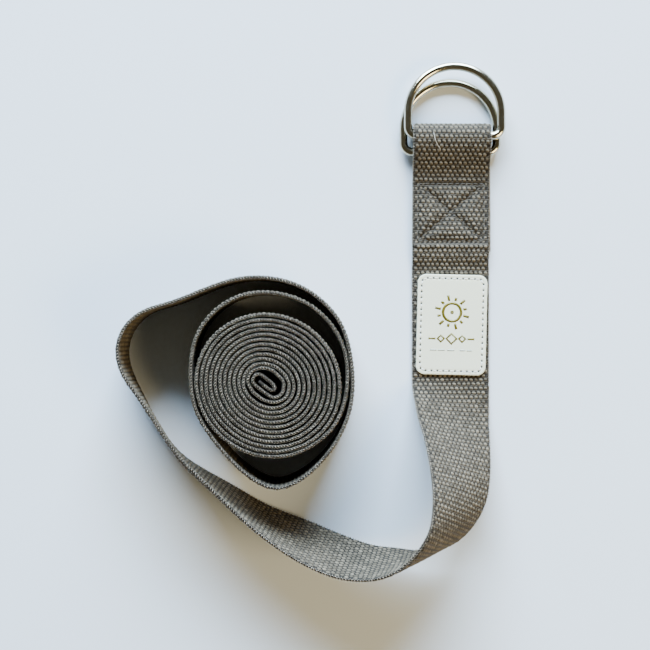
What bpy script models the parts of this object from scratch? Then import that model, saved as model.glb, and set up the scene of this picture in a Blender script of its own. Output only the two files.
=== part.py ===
"""Stretching strap: one long woven webbing with two D-rings, laid out flat, in a loop and in a roll.

Everything is laid out in a working frame whose table top is z = 0 and whose +Y runs along the flat
run towards the D-rings. The last step moves the whole strap so that the centre of its bottom is the
origin. Lengths are in metres and angles in degrees.
"""

import math

import bmesh
import bpy
import numpy as np

# Webbing
WEB_WIDTH = 0.038
WEB_THICK = 0.0018
GAP = 0.0003  # clearance between touching solids
LAYER = WEB_THICK + GAP  # from one layer's middle to the next one's

# D-rings: round wire, a straight bar, two short sides and a half circle
WIRE_R = 0.0020
RING_HALF = 0.02265  # half the width, between wire middles
RING_CORNER = 0.0032
RING_SIDE = 0.01145  # from the bar to the start of the half circle
RING_REACH = RING_SIDE + RING_HALF  # from the bar to the top of the arc
LOWER_BAR = (0.0610, 0.0843, WEB_THICK + GAP + WIRE_R)
UPPER_BAR = (0.0630, 0.0918, 0.0080)
UPPER_TILT = -3.4  # the upper ring leans down from its bar onto the lower ring

# Fold that holds the bars: the tail lies under the main layer
BAR_PLAY = 0.0004  # room between a bar and the layer that goes round it
FOLD_X_TAIL = 0.0622
FOLD_X_MAIN = 0.0614
TAIL_END_Y = 0.0358
NOSE_R = (UPPER_BAR[2] + WIRE_R + BAR_PLAY) / 2  # middle of the layer around the bars
NOSE_Z = NOSE_R + WEB_THICK / 2
SEAM_Y = 0.0700  # where the two layers meet behind the bars
STEP_Y = 0.0275  # where the main layer is down on the table again
RUN_START_Y = 0.0240

# Route of the webbing after the flat run, along its middle: x, y, how far its lower edge is above
# the table, its tilt (0 flat, 90 on edge, more leans outwards) and how far its middle bows out.
ROUTE = [
    (0.0614, RUN_START_Y, 0.0, 0, 0.0),
    (0.0614, 0.0000, 0.0, 0, 0.0),
    (0.0614, -0.0220, 0.0, 0, 0.0),
    (0.0614, -0.0255, 0.0, 0, 0.0),
    (0.0615, -0.0360, -0.0015, 9, -0.0015),
    (0.0618, -0.0460, -0.0015, 24, -0.0015),
    (0.0630, -0.0560, 0.0020, 38, -0.0010),
    (0.0645, -0.0665, 0.0085, 42, 0.0005),
    (0.0648, -0.0775, 0.0140, 43, 0.0015),
    (0.0632, -0.0875, 0.0160, 48, 0.0020),
    (0.0591, -0.0975, 0.0150, 58, 0.0020),
    (0.0525, -0.1055, 0.0125, 71, 0.0020),
    (0.0435, -0.1115, 0.0092, 86, 0.0020),
    (0.0330, -0.1140, 0.0068, 100, 0.0015),
    (0.0222, -0.1143, 0.0050, 108, 0.0010),
    (0.0100, -0.1118, 0.0040, 114, 0.0005),
    (-0.0040, -0.1065, 0.0030, 115, 0.0005),
    (-0.0175, -0.1005, 0.0018, 111, 0.0010),
    (-0.0310, -0.0935, 0.0010, 104, 0.0015),
    (-0.0445, -0.0843, 0.0005, 98, 0.0020),
    (-0.0580, -0.0742, 0.0005, 91, 0.0020),
    (-0.0690, -0.0640, 0.0005, 86, 0.0010),
    (-0.0790, -0.0490, 0.0, 84, -0.0005),
    (-0.0890, -0.0330, 0.0, 87, 0.0),
    (-0.0950, -0.0220, 0.0, 90, 0.0),
    (-0.0968, -0.0110, 0.0, 91, 0.0),
    (-0.0930, -0.0008, 0.0, 91, 0.0),
    (-0.0850, 0.0062, 0.0, 90, 0.0),
    (-0.0730, 0.0102, 0.0, 90, 0.0),
    (-0.0537, 0.0177, 0.0, 90, 0.0),
    (-0.0397, 0.0217, 0.0, 90, 0.0),
    (-0.0257, 0.0219, 0.0, 90, 0.0),
    (-0.0117, 0.0180, 0.0, 90, 0.0),
    (-0.0009, 0.0107, 0.0, 90, 0.0),
    (0.0075, 0.0000, 0.0, 90, 0.0),
    (0.0115, -0.0125, 0.0, 90, 0.0),
    (0.0129, -0.0250, 0.0, 90, 0.0),
    (0.0115, -0.0395, 0.0, 90, 0.0),
    (0.0054, -0.0541, 0.0, 90, 0.0),
    (-0.0061, -0.0677, 0.0, 91, 0.0),
    (-0.0143, -0.0733, 0.0, 92, 0.0),
    (-0.0226, -0.0757, 0.0, 92, 0.0),
    (-0.0337, -0.0718, 0.0, 91, 0.0),
    (-0.0435, -0.0637, 0.0, 90, 0.0),
    (-0.0525, -0.0530, 0.0, 90, 0.0),
    (-0.0600, -0.0405, 0.0, 90, 0.0),
    (-0.0625, -0.0290, 0.0, 90, 0.0),
    (-0.0626, -0.0179, 0.0, 90, 0.0),
    (-0.0605, -0.0068, 0.0, 90, 0.0),
    (-0.0546, 0.0033, 0.0, 90, 0.0),
    (-0.0461, 0.0105, 0.0, 90, 0.0),
    (-0.0350, 0.0147, 0.0, 90, 0.0),
    (-0.0232, 0.0148, 0.0, 90, 0.0),
    (-0.0121, 0.0118, 0.0, 90, 0.0),
    (-0.0023, 0.0056, 0.0, 90, 0.0),
    (0.0049, -0.0029, 0.0, 90, 0.0),
    (0.0091, -0.0120, 0.0, 90, 0.0),
    (0.0105, -0.0238, 0.0, 90, 0.0),
    (0.0091, -0.0356, 0.0, 90, 0.0),
    (0.0049, -0.0457, 0.0, 90, 0.0),
    (-0.0022, -0.0536, 0.0, 90, 0.0),
    (-0.0121, -0.0592, 0.0, 90, 0.0),
]

# Roll on edge: an even spiral, wound clockwise inwards, a little oval
ROLL_X = -0.0260
ROLL_Y = -0.0278
ROLL_DRIFT = -0.0009  # how far in X the inmost turn's middle is from the outmost one's
ROLL_R = 0.0342  # middle of the webbing where the roll begins
ROLL_OVAL = 0.0010  # added to the radius along the roll's long way and taken from it across
ROLL_LONG_WAY = 150.0
ROLL_PITCH = 0.002286
ROLL_START = -75.0  # direction from the roll's middle to where it begins
ROLL_TURNS = 10.2917  # down to the left of the inmost even turn
ROLL_STEPS = 36  # facets in a turn

# Flattened heart of the roll, from the end of the spiral to the webbing's tip, from the roll's middle
HEART = [
    (-0.0115, 0.0042),
    (-0.0099, 0.0070),
    (-0.0072, 0.0089),
    (-0.0040, 0.0098),
    (-0.0001, 0.0094),
    (0.0028, 0.0083),
    (0.0055, 0.0063),
    (0.0085, 0.0025),
    (0.0092, -0.0018),
    (0.0076, -0.0060),
    (0.0036, -0.0081),
    (-0.0006, -0.0079),
    (-0.0048, -0.0058),
    (-0.0083, -0.0025),
    (-0.0100, 0.0012),
    (-0.0092, 0.0049),
    (-0.0062, 0.0071),
    (-0.0025, 0.0077),
    (0.0010, 0.0068),
    (0.0041, 0.0044),
    (0.0065, 0.0014),
    (0.0066, -0.0021),
    (0.0052, -0.0049),
    (0.0022, -0.0060),
    (-0.0011, -0.0046),
    (-0.0043, -0.0022),
    (-0.0068, -0.0002),
    (-0.0077, 0.0019),
    (-0.0070, 0.0040),
    (-0.0053, 0.0048),
    (-0.0029, 0.0038),
    (-0.0004, 0.0018),
    (0.0020, -0.0004),
    (0.0026, -0.0020),
    (0.0009, -0.0027),
    (-0.0013, -0.0015),
    (-0.0053, 0.0016),
]

# Places along the route where the webbing's solids part, by the nearest route point
RUN_END = 3
TURN_END = 21
OUTER_END = 38

# Label: a rounded patch with a sunk line of stitches
LABEL_X = 0.0619
LABEL_Y = 0.0001
LABEL_W = 0.0340
LABEL_H = 0.0490
LABEL_THICK = 0.0010
LABEL_CORNER = 0.0042
LABEL_TURN = -1.4
STITCH_INSET = 0.0019
STITCH_W = 0.0006
GROOVE_W = STITCH_W + 2 * GAP
GROOVE_DEPTH = 0.0004
THREAD_H = 0.0004

# Box and cross of stitches through both layers behind the bars
BOX_W = 0.0326
BOX_FRONT_Y = 0.0690
BOX_REAR_Y = 0.0410
BOX_THREAD = 0.0008

RIBBON_STEP = 0.004  # length of a facet along the loops
COLUMNS = {  # facets across each solid, more where it bows
    "webbing_flat_run": 1,
    "webbing_turn": 4,
    "webbing_outer_loop": 2,
    "webbing_inner_loop": 1,
}


def clear_scene():
    for obj in list(bpy.data.objects):
        bpy.data.objects.remove(obj, do_unlink=True)


def material(name, colour, roughness, metallic=0.0):
    mat = bpy.data.materials.new(name)
    mat.use_nodes = True
    shader = mat.node_tree.nodes["Principled BSDF"]
    shader.inputs["Base Color"].default_value = (*colour, 1.0)
    shader.inputs["Roughness"].default_value = roughness
    shader.inputs["Metallic"].default_value = metallic
    return mat


def add_object(name, bm, mat, smooth_angle=None):
    """Turns a bmesh into a named object with faces that point outwards."""
    bmesh.ops.recalc_face_normals(bm, faces=bm.faces)
    mesh = bpy.data.meshes.new(name)
    bm.to_mesh(mesh)
    bm.free()
    mesh.materials.append(mat)
    if smooth_angle:
        mesh.shade_smooth()
        mesh.set_sharp_from_angle(angle=math.radians(smooth_angle))
    obj = bpy.data.objects.new(name, mesh)
    bpy.context.collection.objects.link(obj)
    return obj


def lengths_along(points):
    steps = np.linalg.norm(np.diff(points, axis=0), axis=1)
    return np.concatenate([[0.0], np.cumsum(steps)])


class Spline:
    """Natural cubic spline through rows of values, over given places."""

    def __init__(self, places, values):
        self.places = places
        self.values = values
        gaps = np.diff(places)[:, None]
        slopes = np.diff(values, axis=0) / gaps
        system = np.eye(len(places))
        right = np.zeros_like(values)
        for i in range(1, len(places) - 1):
            system[i, i - 1] = gaps[i - 1, 0]
            system[i, i] = 2 * (gaps[i - 1, 0] + gaps[i, 0])
            system[i, i + 1] = gaps[i, 0]
            right[i] = 6 * (slopes[i] - slopes[i - 1])
        self.bends = np.linalg.solve(system, right)

    def at(self, place):
        place = np.atleast_1d(place)
        i = np.clip(np.searchsorted(self.places, place) - 1, 0, len(self.places) - 2)
        gap = (self.places[i + 1] - self.places[i])[:, None]
        b = (place - self.places[i])[:, None] / gap
        a = 1 - b
        bent = ((a**3 - a) * self.bends[i] + (b**3 - b) * self.bends[i + 1]) * gap**2 / 6
        return a * self.values[i] + b * self.values[i + 1] + bent


def unit(vectors):
    return vectors / np.linalg.norm(vectors, axis=1)[:, None]


def square_to(vectors, along):
    """Unit vectors nearest to the given ones that are square to the travel."""
    return unit(vectors - (vectors * along).sum(axis=1)[:, None] * along)


def fold_frames():
    """Middle line and width direction of the fold, from the tail's end to the flat run."""
    nose_y = UPPER_BAR[1]
    low = WEB_THICK / 2
    line = [(TAIL_END_Y, low), (0.0600, low), (0.0800, low)]
    for k in range(13):
        angle = math.radians(-90 + 15 * k)
        line.append((nose_y + NOSE_R * math.cos(angle), NOSE_Z + NOSE_R * math.sin(angle)))
    top = low + LAYER
    line += [(0.0885, 0.0108), (0.0845, 0.0091), (0.0785, 0.0060), (SEAM_Y + 0.002, top + 0.0004)]
    line += [(SEAM_Y - 0.003, top), (0.0500, top), (TAIL_END_Y + 0.003, top)]
    line += [(TAIL_END_Y - 0.002, top - 0.0004), (STEP_Y + 0.0015, low + 0.0003)]
    line += [(RUN_START_Y, low)]
    flat = np.array(line)
    share = lengths_along(flat) / lengths_along(flat)[-1]
    x = FOLD_X_TAIL + (FOLD_X_MAIN - FOLD_X_TAIL) * np.clip(share * 1.25, 0, 1)
    middle = np.column_stack([x, flat])
    travel = unit(np.gradient(middle, lengths_along(middle), axis=0))
    across = square_to(np.tile([-1.0, 0.0, 0.0], (len(middle), 1)), travel)
    return middle, across, travel, np.zeros(len(middle))


def route_rows():
    """The hand-laid route, then the roll's spiral and its heart, as rows of x, y, lift, tilt, bow."""
    rows = [list(row) for row in ROUTE]
    hand_laid = len(rows)
    for k in range(math.floor(ROLL_TURNS * ROLL_STEPS) + 1):
        turned = k / ROLL_STEPS
        angle = math.radians(ROLL_START - 360 * turned)
        radius = ROLL_R - ROLL_PITCH * turned
        radius += ROLL_OVAL * math.cos(2 * (angle - math.radians(ROLL_LONG_WAY)))
        x = ROLL_X + ROLL_DRIFT * turned / ROLL_TURNS + radius * math.cos(angle)
        y = ROLL_Y + radius * math.sin(angle)
        rows.append([x, y, 0.0, 90, 0.0])
    rows += [[ROLL_X + x, ROLL_Y + y, 0.0, 90, 0.0] for x, y in HEART]
    return np.array(rows), hand_laid


def route_line(places, spline):
    """Middle line, tilt and bow of the webbing at places along its route."""
    x, y, lift, tilt, bow = spline.at(places).T
    lift, tilt, bow = np.where(places < spline.places[RUN_END], 0, [lift, tilt, bow])
    tilt = np.radians(tilt)
    z = lift + WEB_WIDTH / 2 * np.abs(np.sin(tilt)) + WEB_THICK / 2 * np.abs(np.cos(tilt))
    return np.column_stack([x, y, z]), tilt[:, None], bow


def route_frames(places, spline):
    """Middle line, width direction, travel and bow of the webbing at places along its route."""
    middle, tilt, bow = route_line(places, spline)
    nearby = 0.0002
    ahead, _, _ = route_line(np.minimum(places + nearby, spline.places[-1]), spline)
    behind, _, _ = route_line(np.maximum(places - nearby, 0), spline)
    travel = unit(ahead - behind)
    heading = unit(travel * [1, 1, 0])
    up = np.array([0.0, 0.0, 1.0])
    across = np.cross(heading, up) * np.cos(tilt) + up * np.sin(tilt)
    return middle, square_to(across, travel), travel, bow


def ribbon(name, frames, mat, columns):
    """A closed solid that follows the webbing, with its ends cut square."""
    middle, across, travel, bow = frames
    face = np.cross(across, travel)
    bm = bmesh.new()
    sections = []
    shares = np.linspace(-1, 1, columns + 1)
    for i in range(len(middle)):
        section = []
        for side, order in ((0.5, shares), (-0.5, shares[::-1])):
            for share in order:
                point = middle[i] + across[i] * share * WEB_WIDTH / 2
                point = point + face[i] * (side * WEB_THICK - bow[i] * share**2)
                section.append(bm.verts.new(point))
        sections.append(section)
    count = len(sections[0])
    for first, second in zip(sections, sections[1:]):
        for k in range(count):
            n = (k + 1) % count
            bm.faces.new([first[k], first[n], second[n], second[k]])
    for end in (sections[0], sections[-1]):
        for k in range(columns):
            n = count - 1 - k
            bm.faces.new([end[k], end[k + 1], end[n - 1], end[n]])
    return add_object(name, bm, mat, 40)


def build_webbing(mat):
    """The one webbing, as solids that part where it changes from flat to loop to roll."""
    parts = [ribbon("webbing_fold", fold_frames(), mat, 1)]
    rows, hand_laid = route_rows()
    places = lengths_along(rows[:, :2])
    spline = Spline(places, rows)
    stops = [0, RUN_END, TURN_END, OUTER_END, hand_laid]
    for k, name in enumerate(COLUMNS):
        first = places[stops[k]] + GAP
        last = places[stops[k + 1]]
        steps = max(2, round((last - first) / RIBBON_STEP))
        at = np.linspace(first, last, steps + 1)
        parts.append(ribbon(name, route_frames(at, spline), mat, COLUMNS[name]))
    at = np.concatenate([[places[hand_laid] + GAP], places[hand_laid + 1 : -len(HEART)]])
    heart = np.linspace(places[-len(HEART) - 1], places[-1], 61)[1:]
    at = np.concatenate([at, heart])
    parts.append(ribbon("webbing_roll", route_frames(at, spline), mat, 1))
    return parts


def ring_line():
    """The D-ring's wire middle in its own plane: the bar on X, the arc towards +Y."""
    line = []
    bar_end = RING_HALF - RING_CORNER
    for k in range(5):
        angle = math.radians(-90 + 22.5 * k)
        line.append((bar_end + RING_CORNER * math.cos(angle), RING_CORNER * (1 + math.sin(angle))))
    for k in range(21):
        angle = math.radians(9 * k)
        line.append((RING_HALF * math.cos(angle), RING_SIDE + RING_HALF * math.sin(angle)))
    for k in range(5):
        angle = math.radians(180 + 22.5 * k)
        line.append((-bar_end + RING_CORNER * math.cos(angle), RING_CORNER * (1 + math.sin(angle))))
    return line


def d_ring(name, bar, tilt, mat, sides=10):
    """Round wire swept along the closed D. Its origin is on the bar, which it turns about."""
    line = np.array(ring_line())
    bm = bmesh.new()
    loops = []
    for i in range(len(line)):
        before = line[i] - line[i - 1]
        after = line[(i + 1) % len(line)] - line[i]
        along = before / np.linalg.norm(before) + after / np.linalg.norm(after)
        along = along / np.linalg.norm(along)
        stretch = 1 / max(0.5, float(np.dot(along, after / np.linalg.norm(after))))
        loop = []
        for k in range(sides):
            angle = 2 * math.pi * (k + 0.5) / sides
            out = WIRE_R * math.cos(angle) * stretch
            x = line[i][0] + along[1] * out
            y = line[i][1] - along[0] * out
            loop.append(bm.verts.new((x, y, WIRE_R * math.sin(angle))))
        loops.append(loop)
    for i in range(len(loops)):
        first = loops[i]
        second = loops[(i + 1) % len(loops)]
        for k in range(sides):
            n = (k + 1) % sides
            bm.faces.new([first[k], first[n], second[n], second[k]])
    obj = add_object(name, bm, mat, 60)
    obj.location = bar
    obj.rotation_euler = (math.radians(tilt), 0, 0)
    return obj


def rounded_outline(width, height, corner, steps=6):
    points = []
    for quarter, (sx, sy) in enumerate(((1, 1), (-1, 1), (-1, -1), (1, -1))):
        for k in range(steps + 1):
            angle = math.radians(90 * (quarter + k / steps))
            x = sx * (width / 2 - corner) + corner * math.cos(angle)
            y = sy * (height / 2 - corner) + corner * math.sin(angle)
            points.append((x, y))
    return points


def terraced(name, levels, mat, closed):
    """Rounded outlines joined in order, each an inset and a height. A closed one is a hoop."""
    bm = bmesh.new()
    loops = []
    for inset, z in levels:
        size = (LABEL_W - 2 * inset, LABEL_H - 2 * inset, LABEL_CORNER - inset)
        loops.append([bm.verts.new((x, y, z)) for x, y in rounded_outline(*size)])
    pairs = list(zip(loops, loops[1:]))
    if closed:
        pairs.append((loops[-1], loops[0]))
    else:
        bm.faces.new(loops[0])
        bm.faces.new(loops[-1])
    for first, second in pairs:
        for k in range(len(first)):
            n = (k + 1) % len(first)
            bm.faces.new([first[k], first[n], second[n], second[k]])
    obj = add_object(name, bm, mat, 30)
    obj.location = (LABEL_X, LABEL_Y, WEB_THICK + GAP)
    obj.rotation_euler = (0, 0, math.radians(LABEL_TURN))
    return obj


def build_label(patch_mat, thread_mat):
    outer = STITCH_INSET - GROOVE_W / 2
    inner = STITCH_INSET + GROOVE_W / 2
    floor = LABEL_THICK - GROOVE_DEPTH
    levels = [(0, 0), (0, LABEL_THICK), (outer, LABEL_THICK), (outer, floor)]
    levels += [(inner, floor), (inner, LABEL_THICK)]
    patch = terraced("label_patch", levels, patch_mat, False)
    low = floor + GAP
    high = low + THREAD_H
    outer = STITCH_INSET - STITCH_W / 2
    inner = STITCH_INSET + STITCH_W / 2
    hoop = [(outer, low), (outer, high), (inner, high), (inner, low)]
    stitching = terraced("label_stitching", hoop, thread_mat, True)
    return [patch, stitching]


def thread_bar(name, start, end, mat):
    """A flat run of stitches between two points on the main layer's face."""
    length = math.hypot(end[0] - start[0], end[1] - start[1])
    bm = bmesh.new()
    bmesh.ops.create_cube(bm, size=1.0)
    bmesh.ops.scale(bm, vec=(length + BOX_THREAD, BOX_THREAD, THREAD_H), verts=bm.verts)
    obj = add_object(name, bm, mat)
    z = LAYER + WEB_THICK + GAP + THREAD_H / 2
    obj.location = ((start[0] + end[0]) / 2, (start[1] + end[1]) / 2, z)
    obj.rotation_euler = (0, 0, math.atan2(end[1] - start[1], end[0] - start[0]))
    return obj


def build_box_stitching(mat):
    left = FOLD_X_MAIN - BOX_W / 2
    right = FOLD_X_MAIN + BOX_W / 2
    corners = [(left, BOX_REAR_Y), (right, BOX_REAR_Y), (right, BOX_FRONT_Y), (left, BOX_FRONT_Y)]
    lines = list(zip(corners, corners[1:] + corners[:1]))
    lines += [(corners[0], corners[2]), (corners[1], corners[3])]
    bars = [thread_bar(f"stitch_line_{k}", a, b, mat) for k, (a, b) in enumerate(lines)]
    whole = bars[0]
    whole.name = "box_stitching"
    for bar in bars[1:]:
        bar.hide_render = True
        bar.display_type = "WIRE"
        union = whole.modifiers.new(bar.name, "BOOLEAN")
        union.operation = "UNION"
        union.solver = "EXACT"
        union.object = bar
    return [whole, *bars[1:]]


def centre_on_base(parts):
    """Hangs every part from one empty and moves that so the origin is under the strap's middle."""
    bpy.context.view_layer.update()
    corners = []
    for obj in parts:
        corners += [obj.matrix_world @ vertex.co for vertex in obj.data.vertices]
    middle_x = (min(p.x for p in corners) + max(p.x for p in corners)) / 2
    middle_y = (min(p.y for p in corners) + max(p.y for p in corners)) / 2
    base_z = min(p.z for p in corners)
    root = bpy.data.objects.new("strap_origin", None)
    bpy.context.collection.objects.link(root)
    for obj in parts:
        obj.parent = root
    root.location = (-middle_x, -middle_y, -base_z)


def main():
    clear_scene()
    cotton = material("grey_cotton", (0.262, 0.235, 0.208), 0.9)
    nickel = material("polished_nickel", (0.80, 0.77, 0.72), 0.12, 1.0)
    label = material("white_leatherette", (0.83, 0.82, 0.79), 0.45)
    white_thread = material("white_thread", (0.80, 0.79, 0.76), 0.7)
    grey_thread = material("grey_thread", (0.23, 0.205, 0.18), 0.8)
    lower_tilt = -math.degrees(math.asin((LOWER_BAR[2] - WIRE_R) / RING_REACH))
    parts = build_webbing(cotton)
    parts.append(d_ring("d_ring_upper", UPPER_BAR, UPPER_TILT, nickel))
    parts.append(d_ring("d_ring_lower", LOWER_BAR, lower_tilt, nickel))
    parts += build_label(label, white_thread)
    parts += build_box_stitching(grey_thread)
    centre_on_base(parts)


main()
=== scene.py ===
"""Looks of the stretching strap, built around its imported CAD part. Lengths are in metres."""

import math

import bpy
import numpy as np
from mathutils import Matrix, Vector


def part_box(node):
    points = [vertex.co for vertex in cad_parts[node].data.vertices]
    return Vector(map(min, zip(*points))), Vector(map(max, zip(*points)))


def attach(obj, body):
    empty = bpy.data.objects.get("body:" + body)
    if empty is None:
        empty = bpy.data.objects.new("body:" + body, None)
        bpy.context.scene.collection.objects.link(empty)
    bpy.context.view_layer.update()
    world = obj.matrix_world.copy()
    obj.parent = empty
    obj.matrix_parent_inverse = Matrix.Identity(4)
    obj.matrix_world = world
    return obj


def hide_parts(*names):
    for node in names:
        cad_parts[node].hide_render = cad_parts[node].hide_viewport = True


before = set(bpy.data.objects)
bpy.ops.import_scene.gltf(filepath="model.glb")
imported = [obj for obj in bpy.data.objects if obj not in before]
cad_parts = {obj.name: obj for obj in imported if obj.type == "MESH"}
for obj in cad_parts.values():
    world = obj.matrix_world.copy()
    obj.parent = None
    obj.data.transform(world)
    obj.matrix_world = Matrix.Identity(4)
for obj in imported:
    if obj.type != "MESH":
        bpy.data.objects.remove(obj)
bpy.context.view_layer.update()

# Webbing
WEB_WIDTH = 0.038
CAD_THICK = 0.0018
CORE_THICK = 0.0015  # between the faces, without the yarns that stand out of them
GAP = 0.0003
LAYER = CAD_THICK + GAP
PICK = 0.00218  # from one row of floats to the next, along the webbing
END = 0.00235  # from one float to the next in a row
EDGE_R = 0.00035  # yarns that turn round the selvedge
FACE_H = CORE_THICK / 2  # from the middle layer to the core's face
TABLE_TOP = 0.00002
LINE_STEP = 0.0004  # between the samples of the webbing's middle line
UPPER_SPAN = 600  # samples from the fold's nose to well past the label

# D-rings
WIRE_R = 0.0020
RING_HALF = 0.02265
RING_CORNER = 0.0044
RING_SIDE = 0.01145
RING_REACH = RING_SIDE + RING_HALF
LOWER_BAR = (0.0610, 0.0843, CAD_THICK + GAP + WIRE_R)
UPPER_BAR = (0.0630, 0.0918, 0.0080)
UPPER_TILT = -3.4

# Fold
BAR_PLAY = 0.0004
FOLD_X_TAIL = 0.0622
FOLD_X_MAIN = 0.0614
TAIL_END_Y = 0.0358
NOSE_R = (UPPER_BAR[2] + WIRE_R + BAR_PLAY) / 2
NOSE_Z = NOSE_R + CAD_THICK / 2
SEAM_Y = 0.0700
STEP_Y = 0.0275
RUN_START_Y = 0.0240
RUN_END = 3  # the route's point up to which the webbing lies flat

# Route of the flat run and the turn, along the webbing's middle: x, y, how far its lower edge is
# above the table, its tilt (0 flat, 90 on edge, more leans outwards) and how far its middle bows out.
ROUTE = [
    (0.0614, RUN_START_Y, 0.0, 0, 0.0),
    (0.0614, 0.0000, 0.0, 0, 0.0),
    (0.0614, -0.0220, 0.0, 0, 0.0),
    (0.0614, -0.0255, 0.0, 0, 0.0),
    (0.0615, -0.0360, -0.0015, 9, -0.0015),
    (0.0618, -0.0460, -0.0015, 24, -0.0015),
    (0.0630, -0.0560, 0.0020, 38, -0.0010),
    (0.0645, -0.0665, 0.0085, 42, 0.0005),
    (0.0648, -0.0775, 0.0140, 43, 0.0015),
    (0.0632, -0.0875, 0.0160, 48, 0.0020),
    (0.0591, -0.0975, 0.0150, 58, 0.0020),
    (0.0525, -0.1055, 0.0125, 71, 0.0020),
    (0.0435, -0.1115, 0.0092, 86, 0.0020),
    (0.0330, -0.1140, 0.0068, 100, 0.0015),
    (0.0222, -0.1143, 0.0050, 108, 0.0010),
    (0.0100, -0.1118, 0.0040, 114, 0.0005),
    (-0.0040, -0.1065, 0.0030, 115, 0.0005),
    (-0.0175, -0.1005, 0.0018, 111, 0.0010),
    (-0.0310, -0.0935, 0.0010, 104, 0.0015),
    (-0.0445, -0.0843, 0.0005, 98, 0.0020),
    (-0.0580, -0.0742, 0.0005, 91, 0.0020),
    (-0.0690, -0.0640, 0.0005, 86, 0.0010),
    (-0.0790, -0.0490, 0.0, 84, -0.0005),
    (-0.0890, -0.0330, 0.0, 87, 0.0),
]
# Both loops, on edge on the table: x, y and tilt.
LOOPS = [
    (-0.0950, -0.0220, 90),
    (-0.0968, -0.0110, 91),
    (-0.0930, -0.0008, 91),
    (-0.0850, 0.0062, 90),
    (-0.0730, 0.0102, 90),
    (-0.0537, 0.0177, 90),
    (-0.0397, 0.0217, 90),
    (-0.0257, 0.0219, 90),
    (-0.0117, 0.0180, 90),
    (-0.0009, 0.0107, 90),
    (0.0075, 0.0000, 90),
    (0.0115, -0.0125, 90),
    (0.0129, -0.0250, 90),
    (0.0115, -0.0395, 90),
    (0.0054, -0.0541, 90),
    (-0.0061, -0.0677, 91),
    (-0.0143, -0.0733, 92),
    (-0.0226, -0.0757, 92),
    (-0.0337, -0.0718, 91),
    (-0.0435, -0.0637, 90),
    (-0.0525, -0.0530, 90),
    (-0.0600, -0.0405, 90),
    (-0.0625, -0.0290, 90),
    (-0.0626, -0.0179, 90),
    (-0.0605, -0.0068, 90),
    (-0.0546, 0.0033, 90),
    (-0.0461, 0.0105, 90),
    (-0.0350, 0.0147, 90),
    (-0.0232, 0.0148, 90),
    (-0.0121, 0.0118, 90),
    (-0.0023, 0.0056, 90),
    (0.0049, -0.0029, 90),
    (0.0091, -0.0120, 90),
    (0.0105, -0.0238, 90),
    (0.0091, -0.0356, 90),
    (0.0049, -0.0457, 90),
    (-0.0022, -0.0536, 90),
    (-0.0121, -0.0592, 90),
]

# Roll
ROLL_X = -0.0260
ROLL_Y = -0.0278
ROLL_DRIFT = -0.0009
ROLL_R = 0.0342
ROLL_OVAL = 0.0010
ROLL_LONG_WAY = 150.0
ROLL_PITCH = 0.002286
ROLL_START = -75.0
ROLL_TURNS = 10.2917
ROLL_STEPS = 36
HEART = [
    (-0.0115, 0.0042),
    (-0.0099, 0.0070),
    (-0.0072, 0.0089),
    (-0.0040, 0.0098),
    (-0.0001, 0.0094),
    (0.0028, 0.0083),
    (0.0055, 0.0063),
    (0.0085, 0.0025),
    (0.0092, -0.0018),
    (0.0076, -0.0060),
    (0.0036, -0.0081),
    (-0.0006, -0.0079),
    (-0.0048, -0.0058),
    (-0.0083, -0.0025),
    (-0.0100, 0.0012),
    (-0.0092, 0.0049),
    (-0.0062, 0.0071),
    (-0.0025, 0.0077),
    (0.0010, 0.0068),
    (0.0041, 0.0044),
    (0.0065, 0.0014),
    (0.0066, -0.0021),
    (0.0052, -0.0049),
    (0.0022, -0.0060),
    (-0.0011, -0.0046),
    (-0.0043, -0.0022),
    (-0.0068, -0.0002),
    (-0.0077, 0.0019),
    (-0.0070, 0.0040),
    (-0.0053, 0.0048),
    (-0.0029, 0.0038),
    (-0.0004, 0.0018),
    (0.0020, -0.0004),
    (0.0026, -0.0020),
    (0.0009, -0.0027),
    (-0.0013, -0.0015),
    (-0.0053, 0.0016),
]

# Label
LABEL_X = 0.0619
LABEL_Y = 0.0001
LABEL_W = 0.0340
LABEL_H = 0.0490
LABEL_CORNER = 0.0042
LABEL_TURN = -1.4
STITCH_INSET = 0.0019
STITCH_PITCH = 0.0028
LABEL_THREAD_R = 0.00021
DIMPLE_DEPTH = 0.00030
DIMPLE_R = 0.00042
# How far in from the patch's outline, and how high over its underside.
LABEL_PROFILE = [
    (0.0, 0.00005),
    (0.0, 0.00062),
    (0.00004, 0.00080),
    (0.00013, 0.00091),
    (0.00028, 0.00097),
    (0.0006, 0.0010),
    (0.0011, 0.0010),
    (0.0014, 0.00099),
    (0.00165, 0.00094),
    (0.0019, 0.00090),
    (0.00215, 0.00094),
    (0.0024, 0.00099),
    (0.0028, 0.00101),
    (0.0036, 0.00102),
    (0.0060, 0.00102),
]
# Radius and height over the label's underside of a needle hole's bottom and rim.
HOLE_BOTTOM = (0.00040, 0.00060)
HOLE_RIM = (0.00048, 0.00092)

# Foil print, on the label
FOIL_LOW = 0.00099
FOIL_TOP = 0.00105
SUN_Y = 0.0061
DIAMONDS_Y = -0.0068
WORN_Y = -0.0124
WORN_DASHES = [
    (-0.0103, -0.0072),
    (-0.0064, -0.0031),
    (-0.0020, 0.0016),
    (0.0041, 0.0068),
    (0.0078, 0.0101),
]

# Box and cross of stitches
BOX_W = 0.0326
BOX_FRONT_Y = 0.0690
BOX_REAR_Y = 0.0410
BOX_PITCH = 0.0029
BOX_THREAD_R = 0.00028

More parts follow.
